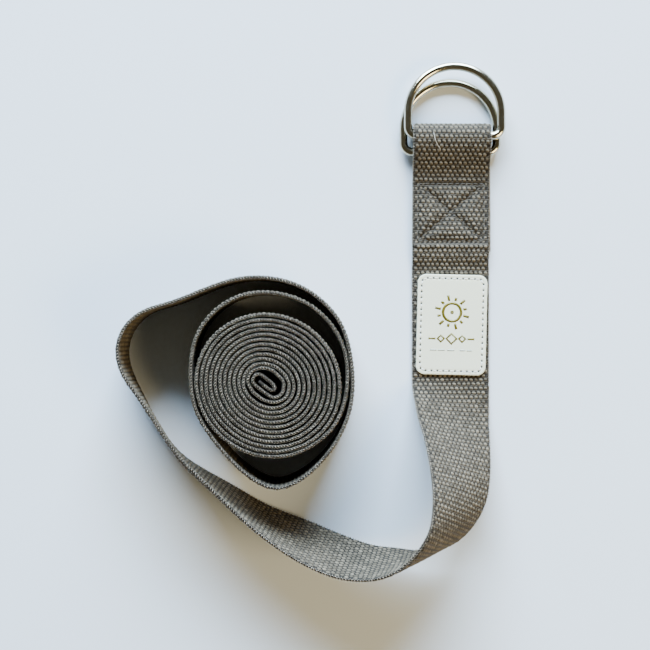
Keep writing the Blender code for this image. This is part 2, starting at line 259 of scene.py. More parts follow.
# Lights, which look at the middle of the table: place, width and height, power, colour
WINDOW = ((-0.15, 2.60, 1.25), (2.7, 1.6), 820, (0.62, 0.80, 1.0))
LAMP = ((1.08, -0.60, 1.05), (0.8, 0.6), 26, (1.0, 0.79, 0.45))
WORLD_COOL = (0.33, 0.37, 0.43)
WORLD_WARM = (0.28, 0.23, 0.16)
WORLD_CEILING = (0.094, 0.081, 0.052)
TABLE_HALF = 3.0

# Camera, straight over the origin that the route was laid from
CAMERA_HEIGHT = 0.8
CAMERA_LENS = 90.4

# Seeds of the random draws
FLOAT_SEED = 5
SELVEDGE_SEED = 8

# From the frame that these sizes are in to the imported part's frame.
label_low, label_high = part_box("label_patch")
SHIFT = np.array(
    [
        (label_low.x + label_high.x) / 2 - LABEL_X,
        (label_low.y + label_high.y) / 2 - LABEL_Y,
        label_low.z - CAD_THICK - GAP,
    ]
)


# ---------------------------------------------------------------- the webbing's line


def lengths_along(points):
    """Distance from the first point to each point, along the line."""
    steps = np.linalg.norm(np.diff(points, axis=0), axis=1)
    return np.concatenate([[0.0], np.cumsum(steps)])


class Spline:
    """Natural cubic spline through rows of values, over given places."""

    def __init__(self, places, values):
        self.places = places
        self.values = values
        gaps = np.diff(places)[:, None]
        slopes = np.diff(values, axis=0) / gaps
        system = np.eye(len(places))
        right = np.zeros_like(values)
        for i in range(1, len(places) - 1):
            system[i, i - 1] = gaps[i - 1, 0]
            system[i, i] = 2 * (gaps[i - 1, 0] + gaps[i, 0])
            system[i, i + 1] = gaps[i, 0]
            right[i] = 6 * (slopes[i] - slopes[i - 1])
        self.bends = np.linalg.solve(system, right)

    def at(self, place):
        """The rows of values at some places."""
        place = np.atleast_1d(place)
        i = np.clip(np.searchsorted(self.places, place) - 1, 0, len(self.places) - 2)
        gap = (self.places[i + 1] - self.places[i])[:, None]
        b = (place - self.places[i])[:, None] / gap
        a = 1 - b
        bent = ((a**3 - a) * self.bends[i] + (b**3 - b) * self.bends[i + 1]) * gap**2 / 6
        return a * self.values[i] + b * self.values[i + 1] + bent


def unit(vectors):
    """The same directions with a length of 1."""
    return vectors / np.linalg.norm(vectors, axis=1)[:, None]


def square_to(vectors, along):
    """Unit vectors nearest to the given ones that are square to the travel."""
    return unit(vectors - (vectors * along).sum(axis=1)[:, None] * along)


def fold_line():
    """Middle of the fold, from the tail's end to the flat run, its width direction and its bow."""
    nose_y = UPPER_BAR[1]
    low = CAD_THICK / 2
    # y and z: along under the bars, round the nose, then down over the tail's end.
    line = [(TAIL_END_Y, low), (0.0600, low), (0.0800, low)]
    for k in range(13):
        angle = math.radians(-90 + 15 * k)
        line.append((nose_y + NOSE_R * math.cos(angle), NOSE_Z + NOSE_R * math.sin(angle)))
    top = low + LAYER
    line += [(0.0885, 0.0108), (0.0845, 0.0091), (0.0785, 0.0060), (SEAM_Y + 0.002, top + 0.0004)]
    line += [(SEAM_Y - 0.003, top), (0.0500, top), (TAIL_END_Y + 0.003, top)]
    line += [(TAIL_END_Y - 0.002, top - 0.0004), (STEP_Y + 0.0015, low + 0.0003), (RUN_START_Y, low)]
    flat = np.array(line)
    places = lengths_along(flat)
    dense = np.arange(0, places[-1], LINE_STEP)
    fine = Spline(places, flat).at(dense)
    share = dense / places[-1]
    x = FOLD_X_TAIL + (FOLD_X_MAIN - FOLD_X_TAIL) * np.clip(share * 1.25, 0, 1)
    middle = np.column_stack([x, fine])
    travel = unit(np.gradient(middle, lengths_along(middle), axis=0))
    across = square_to(np.tile([-1.0, 0.0, 0.0], (len(middle), 1)), travel)
    return middle, across, np.zeros(len(middle))


def route_rows():
    """The listed route, then the roll's spiral and its heart, as rows of x, y, lift, tilt, bow."""
    rows = [list(row) for row in ROUTE] + [[x, y, 0.0, tilt, 0.0] for x, y, tilt in LOOPS]
    hand_laid = len(rows)
    for k in range(math.floor(ROLL_TURNS * ROLL_STEPS) + 1):
        turned = k / ROLL_STEPS
        angle = math.radians(ROLL_START - 360 * turned)
        radius = ROLL_R - ROLL_PITCH * turned
        radius += ROLL_OVAL * math.cos(2 * (angle - math.radians(ROLL_LONG_WAY)))
        x = ROLL_X + ROLL_DRIFT * turned / ROLL_TURNS + radius * math.cos(angle)
        y = ROLL_Y + radius * math.sin(angle)
        rows.append([x, y, 0.0, 90, 0.0])
    rows += [[ROLL_X + x, ROLL_Y + y, 0.0, 90, 0.0] for x, y in HEART]
    return np.array(rows), hand_laid


def route_line():
    """Middle of the webbing after the fold, its width direction, its bow and where the roll starts."""
    rows, hand_laid = route_rows()
    places = lengths_along(rows[:, :2])
    spline = Spline(places, rows)
    at = np.arange(0.0, places[-1], LINE_STEP)
    x, y, lift, tilt, bow = spline.at(at).T
    lift, tilt, bow = np.where(at < places[RUN_END], 0, [lift, tilt, bow])
    tilt = np.radians(tilt)
    # The roll's turns don't stand quite level with each other. The waves share no common length.
    rolled = np.clip((at - places[hand_laid - 8]) / 0.05, 0, 1)
    lift = lift + rolled * (0.00018 + 0.00018 * np.sin(at * 23.7) * np.sin(at * 61.3 + 1.0))
    z = lift + WEB_WIDTH / 2 * np.abs(np.sin(tilt)) + CAD_THICK / 2 * np.abs(np.cos(tilt))
    middle = np.column_stack([x, y, z])
    heading = unit(np.gradient(middle, at, axis=0) * [1, 1, 0])
    # A little unevenness from turn to turn, square to the webbing.
    waver = rolled * 0.00008 * np.sin(at * 197.0) * np.sin(at * 83.0 + 0.5)
    waver = waver + rolled * 0.00005 * np.sin(at * 1130.0)
    right = np.column_stack([heading[:, 1], -heading[:, 0], np.zeros(len(at))])
    middle = middle + right * waver[:, None]
    travel = unit(np.gradient(middle, at, axis=0))
    up = np.array([0.0, 0.0, 1.0])
    across = right * np.cos(tilt)[:, None] + up * np.sin(tilt)[:, None]
    return middle, square_to(across, travel), bow, places[hand_laid]


class Strap:
    """The whole webbing as a surface: a place along it, a place across it and a height over it."""

    def __init__(self):
        fold_mid, fold_across, fold_bow = fold_line()
        mid, across, bow, roll_at = route_line()
        self.middle = np.vstack([fold_mid, mid[1:]])
        self.across = np.vstack([fold_across, across[1:]])
        self.bow = np.concatenate([fold_bow, bow[1:]])
        self.s = lengths_along(self.middle)
        self.length = self.s[-1]
        self.fold_end = self.s[len(fold_mid) - 1]
        self.roll_start = self.fold_end + roll_at
        travel = unit(np.gradient(self.middle, self.s, axis=0))
        self.face = np.cross(self.across, travel)

    def between(self, table, s):
        """Rows of a table at places along the webbing."""
        return np.column_stack([np.interp(s, self.s, column) for column in table.T])

    def at(self, s, v, h):
        """Points at s along, v across from the middle and h above the middle layer."""
        half = WEB_WIDTH / 2
        middle = self.between(self.middle, s)
        across = self.between(self.across, s)
        face = self.between(self.face, s)
        bow = np.interp(s, self.s, self.bow)
        rise = h - bow * (v / half) ** 2
        return middle + across * v[:, None] + face * rise[:, None] + SHIFT

    def s_at_y(self, y, upper):
        """The place where the fold's upper or lower layer, or the flat run, crosses y."""
        span = np.arange(len(self.s))
        nose = int(np.argmax(self.middle[:, 1]))
        part = span[nose : nose + UPPER_SPAN] if upper else span[:nose]
        return float(self.s[part[np.argmin(np.abs(self.middle[part, 1] - y))]])


strap = Strap()
S_FRONT = strap.s_at_y(BOX_FRONT_Y, True)
S_REAR = strap.s_at_y(BOX_REAR_Y, True)


# ---------------------------------------------------------------- meshes


def mesh_object(name, points, faces, mat, smooth=True, uv=None, tone=None):
    """A new object, with the weave's places and the yarns' tones where they are given."""
    mesh = bpy.data.meshes.new(name)
    mesh.from_pydata([tuple(p) for p in points], [], [tuple(f) for f in faces])
    mesh.materials.append(mat)
    if smooth:
        mesh.shade_smooth()
    if uv is not None:
        layer = mesh.uv_layers.new(name="weave")
        index = np.zeros(len(mesh.loops), np.int32)
        mesh.loops.foreach_get("vertex_index", index)
        layer.data.foreach_set("uv", np.asarray(uv, np.float32)[index].ravel())
    if tone is not None:
        layer = mesh.attributes.new("tone", "FLOAT", "POINT")
        layer.data.foreach_set("value", np.asarray(tone, np.float32))
    obj = bpy.data.objects.new(name, mesh)
    bpy.context.scene.collection.objects.link(obj)
    return obj


def grid_faces(rows, columns, closed):
    """Quads of a grid of points. A closed one joins its last column to its first."""
    spans = columns if closed else columns - 1
    a = np.arange(rows - 1)[:, None] * columns
    k = np.arange(spans)[None, :]
    n = (k + 1) % columns
    return np.stack([a + k, a + n, a + n + columns, a + k + columns], axis=-1).reshape(-1, 4)


def end_caps(rows, columns):
    """The two faces that close a tube made by grid_faces."""
    last = (rows - 1) * columns
    return [tuple(range(columns))[::-1], tuple(range(last, last + columns))]


def line_distance(s, v, lines):
    """Distance from each place on the webbing to the nearest of some straight lines on it."""
    best = np.full(len(s), 1.0)
    for (s0, v0), (s1, v1) in lines:
        ds, dv = s1 - s0, v1 - v0
        t = np.clip(((s - s0) * ds + (v - v0) * dv) / (ds * ds + dv * dv), 0, 1)
        best = np.minimum(best, np.hypot(s - s0 - t * ds, v - v0 - t * dv))
    return best


def box_lines():
    """The box and cross of stitches, as lines between places on the webbing."""
    half = BOX_W / 2
    corners = [(S_REAR, -half), (S_REAR, half), (S_FRONT, half), (S_FRONT, -half)]
    lines = list(zip(corners, corners[1:] + corners[:1]))
    return lines + [(corners[0], corners[2]), (corners[1], corners[3])]


BOX_LINES = box_lines()


PLUMP_RISE = 0.00085
PLUMP_REACH = 0.0034
GROOVE_DEPTH = 0.00050
GROOVE_REACH = 0.0012
RIDGE_RISE = 0.00050
RIDGE_REACH = 0.0010
RIDGE_AFTER = 0.0021
PILLOW_MARGIN = 0.008


def pillow(s, v):
    """Height of the main layer's face over its flat: pulled in by the stitches, full between them."""
    inside = (s > S_FRONT - PILLOW_MARGIN) & (s < S_REAR + PILLOW_MARGIN)
    away = line_distance(s, v, BOX_LINES)
    boxed = (s > S_FRONT) & (s < S_REAR) & (np.abs(v) < BOX_W / 2)
    plump = PLUMP_RISE * (1 - np.exp(-((away / PLUMP_REACH) ** 2))) * boxed
    groove = GROOVE_DEPTH * np.exp(-((away / GROOVE_REACH) ** 2))
    ridge = RIDGE_RISE * np.exp(-(((s - S_REAR - RIDGE_AFTER) / RIDGE_REACH) ** 2))
    return np.where(inside, plump + ridge - groove, 0.0)


def strip_section(columns):
    """Places across and heights of one section of the core, once round it."""
    half_w = WEB_WIDTH / 2 - EDGE_R
    flat = np.linspace(-half_w + FACE_H, half_w - FACE_H, columns + 1)
    turn = np.radians(np.linspace(-60, 60, 5))
    v = [flat, flat[-1] + FACE_H * np.cos(turn)[::-1], flat[::-1], flat[0] - FACE_H * np.cos(turn)]
    h = [0 * flat + FACE_H, FACE_H * np.sin(turn)[::-1], 0 * flat - FACE_H, FACE_H * np.sin(turn)]
    return np.concatenate(v), np.concatenate(h)


UPRIGHT = 0.8  # sine of the tilt from which the webbing stands on its edge
PRESSED_BELOW = 0.0009


def strip(stations, columns, base):
    """The core between stations: its points, faces and weave coordinates."""
    v, h = strip_section(columns)
    s = np.repeat(stations, len(v))
    vv = np.tile(v, len(stations))
    hh = np.tile(h, len(stations))
    hh = np.where(hh > CORE_THICK * 0.4, hh + pillow(s, vv), hh)  # the label's side only
    points = strap.at(s, vv, hh)
    # Where the webbing stands on edge, that edge is pressed flat on the table.
    upright = np.abs(strap.between(strap.across, s)[:, 2]) > UPRIGHT
    points[upright & (points[:, 2] < PRESSED_BELOW), 2] = TABLE_TOP
    faces = [*grid_faces(len(stations), len(v), True), *end_caps(len(stations), len(v))]
    return points, [tuple(base + k for k in face) for face in faces], np.column_stack([s, vv])


FOLD_STATION = 0.0007
REST_STATION = 0.0011


def build_core(mat):
    """The flat body of the webbing, fine where the seam pulls it in."""
    fold = np.append(np.arange(0.0, strap.fold_end, FOLD_STATION), strap.fold_end)
    rest = np.arange(strap.fold_end, strap.length, REST_STATION)
    rest[-1] = strap.length
    points, faces, uv = strip(fold, 40, 0)
    more, more_faces, more_uv = strip(rest, 10, len(points))
    points = np.vstack([points, more])
    return mesh_object("webbing", points, faces + more_faces, mat, uv=np.vstack([uv, more_uv]))


def dome(around, rings, full):
    """A unit dome with its foot sunk a little, or a ball open below, as points and faces."""
    points = []
    levels = np.linspace(-75 if full else -8, 62, rings)
    for lift in np.radians(levels):
        for k in range(around):
            angle = 2 * math.pi * k / around
            points.append([math.cos(lift) * math.cos(angle), math.cos(lift) * math.sin(angle)])
            points[-1].append(math.sin(lift))
    points.append([0.0, 0.0, 1.0])
    faces = []
    for r in range(rings - 1):
        for k in range(around):
            n = (k + 1) % around
            a = r * around
            faces.append((a + k, a + n, a + around + n, a + around + k))
    top = (rings - 1) * around
    for k in range(around):
        faces.append((top + k, top + (k + 1) % around, len(points) - 1))
    return np.array(points), faces


# How far the yarns' tone rises towards the crown, a painted highlight, and falls towards the foot,
# painted shade.
CROWN_HIGHLIGHT_FOOT_SHADE = 0.25


def bead_parts(s, v, h, size, slant, side, tone, shape, out=None):
    """Many small yarn floats: points, faces, weave places and tones. Sizes are half lengths.

    They stand out of the face on their side, or of the edge where out is given.
    """
    template, faces = shape
    count = len(s)
    along = template[None, :, 0] * size[:, 0:1]
    over = template[None, :, 1] * size[:, 1:2]
    rise = template[None, :, 2] * size[:, 2:3]
    c = np.cos(slant)[:, None]
    n = np.sin(slant)[:, None]
    turned_s = along * c - over * n
    turned_v = along * n + over * c
    ss = np.clip(s[:, None] + turned_s, 0, strap.length)
    if out is None:
        vv = v[:, None] + turned_v
        hh = h[:, None] + side[:, None] * rise
    else:
        vv = v[:, None] + out[:, None] * rise
        hh = h[:, None] + turned_v
    points = strap.at(ss.ravel(), vv.ravel(), hh.ravel())
    whole = []
    flip = side < 0 if out is None else out > 0
    for k in range(count):
        base = k * len(template)
        for face in faces:
            order = face[::-1] if flip[k] else face
            whole.append(tuple(base + i for i in order))
    # Painted light: a yarn is made lighter on its crown, a painted highlight, and darker at its foot,
    # painted shade where it meets the face.
    tones = tone[:, None] + CROWN_HIGHLIGHT_FOOT_SHADE * (template[None, :, 2] - 0.55)
    return points, whole, np.column_stack([ss.ravel(), vv.ravel()]), tones.ravel()


def joined(name, parts, mat):
    """Several lots of points and faces as one object. Yarns have weave places and tones as well."""
    faces, base = [], 0
    for part in parts:
        faces += [tuple(base + i for i in face) for face in part[1]]
        base += len(part[0])
    points, _, *looks = zip(*parts)
    uv, tone = [np.concatenate(look) for look in looks] or (None, None)
    return mesh_object(name, np.vstack(points), faces, mat, uv=uv, tone=tone)


def lattice(start, stop, rng):
    """Places of the floats: rows across, each half a float out of line with the last."""
    s_list, v_list = [], []
    inner = WEB_WIDTH / 2 - 0.0013
    for row in range(round(start / PICK), round(stop / PICK)):
        offset = 0.25 if row % 2 else -0.25
        for k in range(-9, 10):
            v = (k + offset) * END
            if abs(v) < inner:
                s_list.append((row + 0.5) * PICK)
                v_list.append(v)
    s = np.array(s_list)
    v = np.array(v_list)
    return s + rng.normal(0, 0.00005, len(s)), v + rng.normal(0, 0.00007, len(v))


# How far past the end of the fold, along the webbing, its stretches of floats begin and end.
FLARE_FROM = 0.03
TOP_TO = 0.30
FLARE_TO = 0.42
LOOPS_TO = 0.80
INTO_ROLL = 0.23  # past the roll's start: the floats further in can't be seen

# How far the floats stand out. Inside the bends they are squeezed flat.
CREST = 0.00046
FLARE_CREST = 0.00026
INSIDE_CREST = 0.00011


def float_runs():
    """Stretches of each face with floats of their own: name, start, stop, side, crest and shape."""
    fold = strap.fold_end
    nose_low = strap.s_at_y(UPPER_BAR[1], False) + 0.0016
    seam_low = strap.s_at_y(SEAM_Y, False)
    seam_high = strap.s_at_y(SEAM_Y, True)
    fine, coarse = dome(8, 3, False), dome(7, 2, False)
    return [
        ("webbing_floats_top", nose_low, fold + TOP_TO, 1, CREST, fine),
        ("webbing_floats_loops", fold + TOP_TO, fold + LOOPS_TO, 1, CREST, coarse),
        ("webbing_floats_roll", fold + LOOPS_TO, strap.roll_start + INTO_ROLL, 1, CREST, coarse),
        ("webbing_floats_nose", seam_low, seam_high, -1, CREST, coarse),
        ("webbing_floats_flare", fold + FLARE_FROM, fold + FLARE_TO, -1, FLARE_CREST, fine),
        ("webbing_floats_inside", fold + FLARE_TO, fold + LOOPS_TO, -1, INSIDE_CREST, coarse),
    ]


FLOAT_SLANT = 27  # degrees
FLOAT_HALF_ACROSS = 0.00106
# Half the length and the tone of the floats on the label's side, and on the other side, which is
# squeezed together inside the bends. The other side's lower tone is painted shade for inside the bends.
FLOAT_LOOKS = {1: (0.00084, 0.50), -1: (0.00112, 0.30)}


def build_floats(mat, weft_shade_mat):
    """The warp floats and weft ridges that stand out of the faces wherever a face can be seen."""
    rng = np.random.default_rng(FLOAT_SEED)
    made = []
    picks = []
    for name, start, stop, side, crest, shape in float_runs():
        s, v = lattice(start, stop, rng)
        count = len(s)
        half_along, shade = FLOAT_LOOKS[side]
        sides = np.full(count, side)
        # On the other side the lower mean tone is painted shade.
        tone = np.clip(rng.normal(shade, 0.22, count), 0, 1)
        press = np.zeros(count)
        height = np.full(count, side * (FACE_H - 0.00005))
        if side > 0:
            press = np.exp(-((line_distance(s, v, BOX_LINES) / 0.0011) ** 2))
            height = height + pillow(s, v)
        size = np.column_stack(
            [
                half_along * (1 - 0.30 * press) * rng.uniform(0.90, 1.10, count),
                FLOAT_HALF_ACROSS * (1 - 0.35 * press) * rng.uniform(0.90, 1.10, count),
                crest * (1 - 0.75 * press),
            ]
        )
        slant = math.radians(FLOAT_SLANT) + rng.normal(0, 0.13, count)
        made.append(joined(name, [bead_parts(s, v, height, size, slant, sides, tone, shape)], mat))
        picks.append(weft_ridges(start, stop, side, rng))
    return [*made, joined("webbing_picks", picks, weft_shade_mat)]


RIDGE_HALF = 0.00036
RIDGE_WAVE = 0.00016
RIDGE_CREST = {1: 0.00018, -1: 0.00005}


def weft_ridges(start, stop, side, rng):
    """The weft yarns between the rows of floats: low ridges that wave round the floats."""
    rows = np.arange(round(start / PICK), round(stop / PICK))
    reach = WEB_WIDTH / 2 - 0.0008
    v = np.linspace(-reach, reach, 35)
    bend = np.radians([8, 62, 118, 172])
    points, faces, uv, tone = [], [], [], []
    for k, row in enumerate(rows):
        phase = math.pi if row % 2 else 0.0
        wave = RIDGE_WAVE * np.cos(2 * math.pi * v / END + phase)
        middle = row * PICK + wave + rng.normal(0, 0.00003)
        s = (middle[:, None] + RIDGE_HALF * np.cos(bend)[None, :]).ravel()
        vv = np.repeat(v, len(bend))
        over = side * (FACE_H - 0.00004 + RIDGE_CREST[side] * np.tile(np.sin(bend), len(v)))
        over = over + (pillow(s, vv) if side > 0 else 0)
        points.append(strap.at(np.clip(s, 0, strap.length), vv, over))
        quads = grid_faces(len(v), len(bend), False) + k * len(v) * len(bend)
        faces += [tuple(q) if side > 0 else tuple(q[::-1]) for q in quads]
        uv.append(np.column_stack([s, vv]))
        tone.append(np.full(len(s), float(np.clip(rng.normal(0.5, 0.2), 0, 1))))
    return np.vstack(points), faces, np.vstack(uv), np.concatenate(tone)


SELVEDGE_PITCH = PICK * 0.64


def build_selvedge(mat):
    """Both edges: yarns that cross the edge aslant, between two rows that bind them."""
    rng = np.random.default_rng(SELVEDGE_SEED)
    made = []
    count = int(strap.length / SELVEDGE_PITCH) - 1
    rung_at = (np.arange(count) + 0.5) * SELVEDGE_PITCH
    # Height over the middle layer, lead in pitches, half sizes and slant.
    rungs = (0.0, 0.0, (0.00019, 0.00074), 30)
    outer_rail = (0.00065, 0.35, (0.00054, 0.00020), 0)
    inner_rail = (-0.00065, -0.35, (0.00054, 0.00020), 0)
    for edge, out in (("high", 1), ("low", -1)):
        parts = []
        for kind in (rungs, outer_rail, inner_rail):
            h, lead, half, slant = kind
            shape = dome(7, 3, True) if kind is rungs and out > 0 else dome(5, 2, True)
            s = rung_at + lead * SELVEDGE_PITCH + rng.normal(0, 0.00004, count)
            size = np.column_stack(
                [
                    half[0] * rng.uniform(0.9, 1.1, count),
                    half[1] * rng.uniform(0.9, 1.1, count),
                    (EDGE_R + 0.0001) * rng.uniform(0.8, 1.1, count),
                ]
            )
            v = np.full(count, out * (WEB_WIDTH / 2 - EDGE_R - 0.0001))
            hh = h + rng.normal(0, 0.00003, count)
            turn = np.radians(slant + rng.normal(0, 5, count))
            tone = np.clip(rng.normal(0.5, 0.25, count), 0, 1)
            outs = np.full(count, out)
            parts.append(bead_parts(s, v, hh, size, turn, outs, tone, shape, outs))
        made.append(joined("selvedge_" + edge, parts, mat))
    return made


def build_stray_fibre(mat):
    """One loose fibre that lies on the fold, curled up a little at its end."""
    share = np.linspace(0, 1, 14)
    s = strap.s_at_y(0.0930, True) + share * 0.0078
    v = 0.0092 - 0.0036 * share + 0.0007 * np.sin(share * math.pi)
    h = FACE_H + 0.00042 + 0.0005 * np.sin(share * math.pi) ** 2
    return joined("stray_fibre", [capsule(strap.at(s, v, h), 0.00013, 6, 0.3)], mat)


# ---------------------------------------------------------------- threads


def capsule(points, radius, sides=8, taper=0.55):
    """A round yarn through points, its ends drawn in."""
    points = np.asarray(points, float)
    travel = unit(np.gradient(points, lengths_along(points), axis=0))
    side = square_to(np.tile([0.0, 0.0, 1.0], (len(points), 1)) + 1e-6, travel)
    other = np.cross(travel, side)
    grown = np.ones(len(points))
    grown[0] = grown[-1] = taper
    rows = []
    for i in range(len(points)):
        for k in range(sides):
            angle = 2 * math.pi * k / sides
            spoke = side[i] * math.cos(angle) + other[i] * math.sin(angle)
            rows.append(points[i] + spoke * radius * grown[i])
    return np.array(rows), [*grid_faces(len(points), sides, True), *end_caps(len(points), sides)]


def box_stitches(mat):
    """Separate stitches along the box and cross, each diving into the webbing at its ends."""
    parts = []
    for (s0, v0), (s1, v1) in BOX_LINES:
        run = math.hypot(s1 - s0, v1 - v0)
        count = round(run / BOX_PITCH)
        for k in range(count):
            share = (k + np.linspace(0.10, 0.90, 7)) / count
            s = s0 + (s1 - s0) * share
            v = v0 + (v1 - v0) * share
            arch = np.sin(np.linspace(0, math.pi, 7))
            h = FACE_H - 0.0002 + 0.00034 * arch + pillow(s, v)
            parts.append(capsule(strap.at(s, v, h), BOX_THREAD_R))
    return joined("box_thread", parts, mat)


def rounded_outline(width, height, corner, count):
    """Evenly spread points round a rounded rectangle, anticlockwise from the right side's middle."""
    corner = max(corner, 0.0002)
    x, y = width / 2 - corner, height / 2 - corner
    quarter = corner * math.pi / 2
    # Centre of each corner, the angle it starts at and the straight before it. The last is only
    # the rest of the right side.
    corners = [(x, y, 0, y), (-x, y, 90, 2 * x), (-x, -y, 180, 2 * y), (x, -y, 270, 2 * x), (x, 0, 0, y)]
    total = 4 * (x + y + quarter)
    points = []
    for k in range(count):
        d = total * k / count
        for cx, cy, start, straight in corners:
            if d <= straight + quarter:
                break
            d -= straight + quarter
        before = max(straight - d, 0)
        angle = math.radians(start) + max(d - straight, 0) / corner
        point_x = cx + corner * math.cos(angle) + before * math.sin(angle)
        points.append((point_x, cy + corner * math.sin(angle) - before * math.cos(angle)))
    return np.array(points)


def on_label(x, y, z):
    """Places on the label, z over its underside, as points in the part's frame."""
    turn = math.radians(LABEL_TURN)
    px = LABEL_X + x * math.cos(turn) - y * math.sin(turn)
    py = LABEL_Y + x * math.sin(turn) + y * math.cos(turn)
    return np.column_stack([px, py, CAD_THICK + GAP * 0.5 + z]) + SHIFT


STITCHES = round((2 * (LABEL_W + LABEL_H) - 8 * STITCH_INSET - 2 * LABEL_CORNER) / STITCH_PITCH)


def needle_holes():
    """Middles of the holes that the label's thread goes through."""
    size = (LABEL_W - 2 * STITCH_INSET, LABEL_H - 2 * STITCH_INSET, LABEL_CORNER - STITCH_INSET)
    return rounded_outline(*size, STITCHES)


def build_label(mat):
    """The patch: soft rounded rim, a shallow line pulled in by the stitches, a dimple at each hole."""
    count = 416
    holes = needle_holes()
    rows = []
    for inset, lift in LABEL_PROFILE:
        size = (LABEL_W - 2 * inset, LABEL_H - 2 * inset, LABEL_CORNER - inset)
        flat = rounded_outline(*size, count)
        z = np.full(count, lift)
        if inset > 0.001:
            nearest = np.min(np.linalg.norm(flat[:, None] - holes[None], axis=2), axis=1)
            z = z - DIMPLE_DEPTH * np.exp(-((nearest / DIMPLE_R) ** 2))
        rows.append(on_label(flat[:, 0], flat[:, 1], z))
    faces = [*grid_faces(len(rows), count, True), *end_caps(len(rows), count)]
    return mesh_object("label", np.vstack(rows), faces, mat)


def build_label_thread(mat):
    """One stitch from each needle hole to the next, low in the line that it pulls in."""
    holes = needle_holes()
    share = np.linspace(0.17, 0.83, 7)[:, None]
    z = 0.00082 + 0.00020 * np.sin(np.linspace(0, math.pi, 7))
    parts = []
    for a, b in zip(holes, np.roll(holes, -1, axis=0)):
        flat = a + (b - a) * share
        parts.append(capsule(on_label(flat[:, 0], flat[:, 1], z), LABEL_THREAD_R))
    return joined("label_thread", parts, mat)


def build_needle_holes(mat):
    """A dark plug in the dimple at each needle hole: the dark webbing under the hole, and painted shade
    inside it.
    """
    sides = 10
    faces = [*grid_faces(2, sides, True), *end_caps(2, sides)]
    parts = []
    for x, y in needle_holes():
        rings = []
        for radius, z in (HOLE_BOTTOM, HOLE_RIM):
            rim = arc(x, y, radius, sides)
            rings.append(on_label(rim[:, 0], rim[:, 1], z + 0 * rim[:, 0]))
        parts.append((np.vstack(rings), faces))
    return joined("label_needle_holes", parts, mat)


# ---------------------------------------------------------------- foil print


def foil_path(points, width, closed):
    """A flat foil line of the given width along points on the label."""
    points = np.asarray(points, float)
    if closed:
        travel = unit(np.roll(points, -1, axis=0) - np.roll(points, 1, axis=0))
    else:
        travel = unit(np.gradient(points, axis=0))
    side = np.column_stack([-travel[:, 1], travel[:, 0]])
    rows = []
    for k in range(len(points)):
        a = points[k] + side[k] * width / 2
        b = points[k] - side[k] * width / 2
        for x, y in (a, b):
            for z in (FOIL_LOW, FOIL_TOP):
                rows.append(on_label(np.array([x]), np.array([y]), np.array([z]))[0])
    faces = []
    spans = len(points) if closed else len(points) - 1
    for k in range(spans):
        a = 4 * k
        b = 4 * ((k + 1) % len(points))
        for i, j in ((0, 1), (1, 3), (3, 2), (2, 0)):
            faces.append((a + i, a + j, b + j, b + i))
    if not closed:
        last = 4 * (len(points) - 1)
        faces += [(0, 2, 3, 1), (last, last + 1, last + 3, last + 2)]
    return np.array(rows), faces


def arc(cx, cy, radius, count):
    """Points evenly round a circle."""
    around = np.linspace(0, 2 * math.pi, count, endpoint=False)
    return np.column_stack([cx + radius * np.cos(around), cy + radius * np.sin(around)])


def diamond(cx, cy, half):
    """Its four corners, anticlockwise from the right."""
    return np.array([(cx + half, cy), (cx, cy + half), (cx - half, cy), (cx, cy - half)])


def build_foil(mat):
    """A plain sun: a ring, a dot and short rays, over a row of diamonds between two lines."""
    parts = [foil_path(arc(0, SUN_Y, 0.0044, 72), 0.0013, True)]
    parts.append(foil_path(arc(0, SUN_Y, 0.0005, 18), 0.0008, True))
    for k in range(12):
        angle = 2 * math.pi * (k + 0.5) / 12
        reach = 0.0086 if k % 2 else 0.0074
        spoke = np.array([math.cos(angle), math.sin(angle)])
        span = np.linspace(0.0057, reach, 4)[:, None]
        parts.append(foil_path(np.array([0, SUN_Y]) + span * spoke, 0.0012, False))
    for sign in (-1, 1):
        run = np.column_stack([sign * np.linspace(0.0078, 0.0112, 6), np.full(6, DIAMONDS_Y)])
        parts.append(foil_path(run[::sign], 0.0010, False))
        parts.append(foil_path(diamond(sign * 0.0052, DIAMONDS_Y, 0.0016), 0.0011, True))
    parts.append(foil_path(diamond(0, DIAMONDS_Y, 0.0025), 0.0011, True))
    return joined("foil_print", parts, mat)


def build_worn_print(mat):
    """A faint broken line under the foil, nearly worn away."""
    parts = []
    for start, stop in WORN_DASHES:
        run = np.column_stack([np.linspace(start, stop, 5), np.full(5, WORN_Y)])
        parts.append(foil_path(run, 0.0008, False))
    return joined("worn_print", parts, mat)


# ---------------------------------------------------------------- rings


def ring_line():
    """The D-ring's wire middle in its own plane, closely spaced."""
    line = []
    bar_end = RING_HALF - RING_CORNER
    for x in np.linspace(-bar_end, bar_end, 16)[:-1]:
        line.append((x, 0.0))
    for angle in np.radians(np.linspace(-90, 0, 13)[:-1]):
        line.append((bar_end + RING_CORNER * math.cos(angle), RING_CORNER * (1 + math.sin(angle))))
    for y in np.linspace(RING_CORNER, RING_SIDE, 5)[:-1]:
        line.append((RING_HALF, y))
    for angle in np.radians(np.linspace(0, 180, 73)[:-1]):
        line.append((RING_HALF * math.cos(angle), RING_SIDE + RING_HALF * math.sin(angle)))
    for y in np.linspace(RING_SIDE, RING_CORNER, 5)[:-1]:
        line.append((-RING_HALF, y))
    for angle in np.radians(np.linspace(180, 270, 13)[:-1]):
        line.append((-bar_end + RING_CORNER * math.cos(angle), RING_CORNER * (1 + math.sin(angle))))
    return np.array(line)


